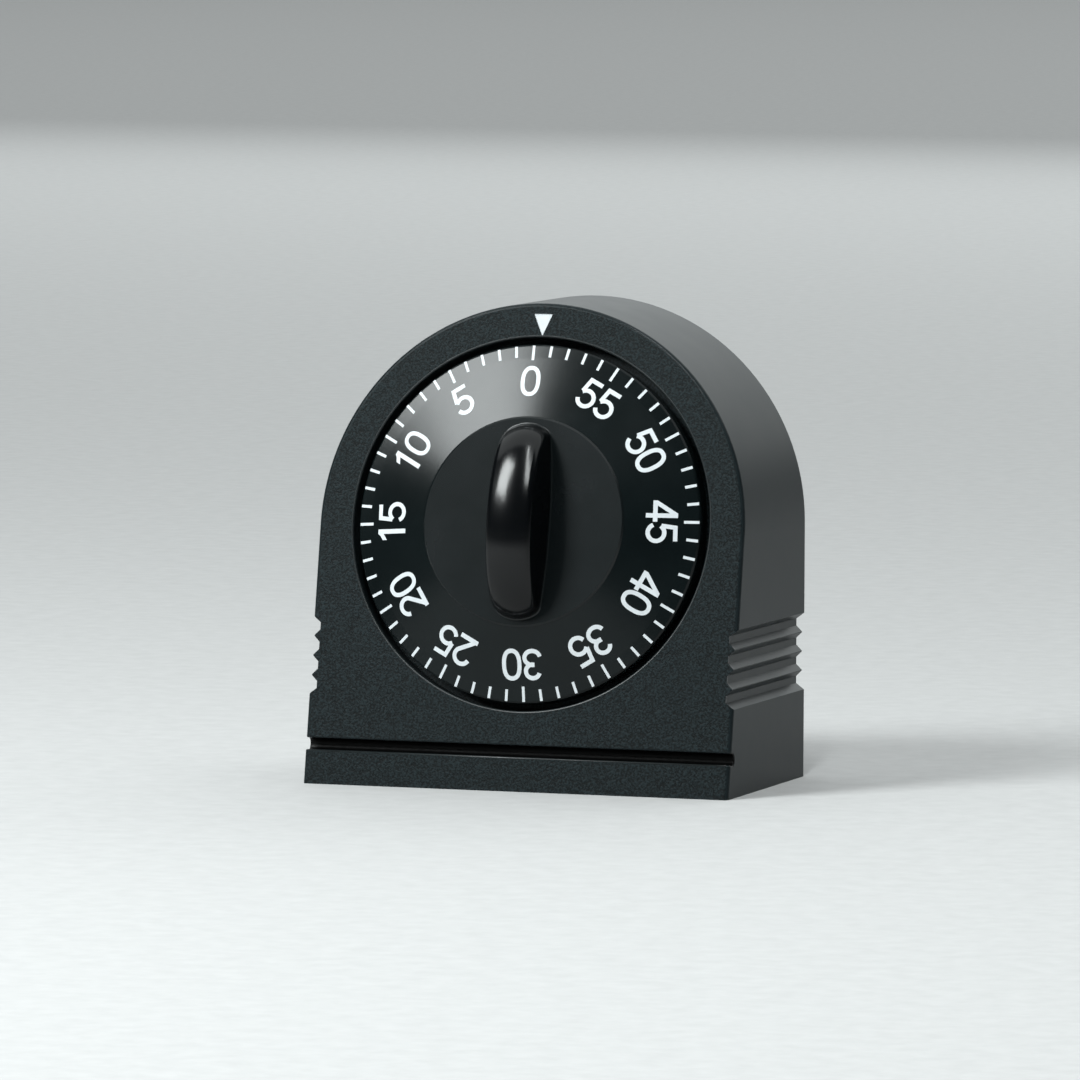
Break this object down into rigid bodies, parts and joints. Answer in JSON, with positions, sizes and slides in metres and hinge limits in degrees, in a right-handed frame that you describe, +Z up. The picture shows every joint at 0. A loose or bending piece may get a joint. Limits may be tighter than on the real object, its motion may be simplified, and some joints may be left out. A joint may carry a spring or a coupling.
{
  "type": "wind-up dial timer",
  "caption": "Free-standing wind-up timer: arched black case, sloping face with a round minute dial, arched grip, bell and clockwork inside.",
  "frame": {"origin": "middle of the flat base, where the timer rests on a table", "axes": "+Z up, -Y out of the front (the dial's side), +X to the right seen from the front"},
  "size_m": [0.076, 0.0464, 0.0818],
  "materials": {
    "case_plastic": "fine spark-textured black",
    "cover_plastic": "matte black",
    "dial_plastic": "satin to glossy black, printed scale",
    "grip_plastic": "glossy grip on a satin disc, black",
    "white_paint": "white, matte",
    "screw_steel": "zinc plated",
    "pillar_steel": "turned",
    "arbor_steel": "turned, bright",
    "spring_steel": "blued",
    "bell_steel": "nickel plated",
    "plate_brass": "stamped, matte",
    "wheel_brass": "stamped, satin"
  },
  "bodies": {
    "case": {"front_case": "case_plastic", "pointer_marker": "white_paint", "back_cover": "cover_plastic", "cover_screws": "screw_steel", "movement_screws": "screw_steel", "front_plate": "plate_brass", "rear_plate": "plate_brass", "plate_pillars": "pillar_steel", "pillar_nuts": "screw_steel", "spring_posts": "pillar_steel", "mainspring": "spring_steel", "hairspring_stud": "pillar_steel", "bell": "bell_steel", "bell_post": "pillar_steel", "bell_screw": "screw_steel"},
    "dial": {"dial_ring": "dial_plastic", "grip_knob": "grip_plastic", "main_arbor": "arbor_steel", "ratchet_wheel": "arbor_steel", "strike_cam": "arbor_steel"},
    "great_wheel": {"great_wheel": "wheel_brass", "click_rivet": "arbor_steel", "click_spring": "spring_steel"},
    "click": {"click": "arbor_steel"},
    "second_wheel": {"second_pinion": "arbor_steel", "second_wheel": "wheel_brass"},
    "third_wheel": {"third_pinion": "arbor_steel", "third_wheel": "wheel_brass"},
    "escape_wheel": {"escape_pinion": "arbor_steel", "escape_wheel": "wheel_brass"},
    "pallet_lever": {"pallet_lever": "arbor_steel", "pallet_arbor": "arbor_steel", "pallet_pins": "arbor_steel"},
    "balance": {"balance_wheel": "wheel_brass", "balance_staff": "arbor_steel", "balance_roller": "wheel_brass", "hairspring_collet": "wheel_brass", "hairspring": "spring_steel"},
    "strike_wheel": {"strike_wheel": "wheel_brass", "strike_spring": "spring_steel"},
    "star_wheel": {"star_pinion": "arbor_steel", "star_wheel": "wheel_brass"},
    "hammer": {"hammer_tail": "arbor_steel", "hammer_arbor": "arbor_steel", "hammer_arm": "arbor_steel", "hammer_head": "arbor_steel", "hammer_spring": "spring_steel"},
    "release_lever": {"release_nose_arm": "arbor_steel", "release_stop_arm": "arbor_steel", "release_arbor": "arbor_steel", "release_spring": "spring_steel"}
  },
  "joints": [
    {"name": "dial_turn", "type": "hinge", "parent": "case", "child": "dial", "pos_m": [0, -0.01286, 0.04478], "axis": [0, 0.9841, -0.1778], "range_deg": [0, 356], "stiffness_Nm_per_rad": 0.006, "springref_deg": -143.24, "deforming": ["mainspring"]},
    {"name": "great_wheel_turn", "type": "hinge", "parent": "case", "child": "great_wheel", "pos_m": [0, -0.00105, 0.04264], "axis": [0, 0.9841, -0.1778], "range_deg": [0, 356]},
    {"name": "click_lift", "type": "hinge", "parent": "great_wheel", "child": "click", "pos_m": [-0.00424, 0.00003, 0.04861], "axis": [0, -0.9841, 0.1778], "range_deg": [0, 14], "stiffness_Nm_per_rad": 0.0004, "springref_deg": -17.19, "deforming": ["click_spring"]},
    {"name": "second_wheel_turn", "type": "hinge", "parent": "case", "child": "second_wheel", "pos_m": [-0.01247, 0.00023, 0.04973], "axis": [0, 0.9841, -0.1778], "range_deg": [-2848, 0]},
    {"name": "third_wheel_turn", "type": "hinge", "parent": "case", "child": "third_wheel", "pos_m": [-0.01634, -0.00156, 0.03981], "axis": [0, 0.9841, -0.1778], "range_deg": [0, 22784]},
    {"name": "escape_wheel_turn", "type": "hinge", "parent": "case", "child": "escape_wheel", "pos_m": [-0.01343, -0.00298, 0.03195], "axis": [0, 0.9841, -0.1778], "range_deg": [-170880, 0]},
    {"name": "balance_swing", "type": "hinge", "parent": "case", "child": "balance", "pos_m": [0.00083, -0.00399, 0.02635], "axis": [0, 0.9841, -0.1778], "range_deg": [-24, 24], "stiffness_Nm_per_rad": 0.0000004, "deforming": ["hairspring"]},
    {"name": "pallet_lever_swing", "type": "hinge", "parent": "case", "child": "pallet_lever", "pos_m": [-0.00754, -0.00386, 0.02707], "axis": [0, 0.9841, -0.1778], "range_deg": [-6.1, 6.1]},
    {"name": "strike_wheel_turn", "type": "hinge", "parent": "case", "child": "strike_wheel", "pos_m": [0, -0.00105, 0.04264], "axis": [0, 0.9841, -0.1778], "range_deg": [0, 180], "stiffness_Nm_per_rad": 0.001, "springref_deg": -57.3},
    {"name": "star_wheel_turn", "type": "hinge", "parent": "case", "child": "star_wheel", "pos_m": [0.01305, -0.00213, 0.03665], "axis": [0, 0.9841, -0.1778], "range_deg": [-1440, 0]},
    {"name": "hammer_swing", "type": "hinge", "parent": "case", "child": "hammer", "pos_m": [0.01793, -0.00352, 0.02898], "axis": [0, 0.9841, -0.1778], "range_deg": [-6, 8], "stiffness_Nm_per_rad": 0.002, "deforming": ["hammer_spring"]},
    {"name": "release_lever_drop", "type": "hinge", "parent": "case", "child": "release_lever", "pos_m": [0.015, 0.00064, 0.05199], "axis": [0, -0.9841, 0.1778], "range_deg": [0, 4.5], "stiffness_Nm_per_rad": 0.0005, "springref_deg": 11.46, "deforming": ["release_spring"]}
  ],
  "couplings": [
    {"joint": "great_wheel_turn", "follows": "dial_turn", "ratio": 1},
    {"joint": "second_wheel_turn", "follows": "dial_turn", "ratio": -8},
    {"joint": "third_wheel_turn", "follows": "dial_turn", "ratio": 64},
    {"joint": "escape_wheel_turn", "follows": "dial_turn", "ratio": -480},
    {"joint": "pallet_lever_swing", "follows": "balance_swing", "ratio": -0.254},
    {"joint": "star_wheel_turn", "follows": "strike_wheel_turn", "ratio": -8}
  ]
}
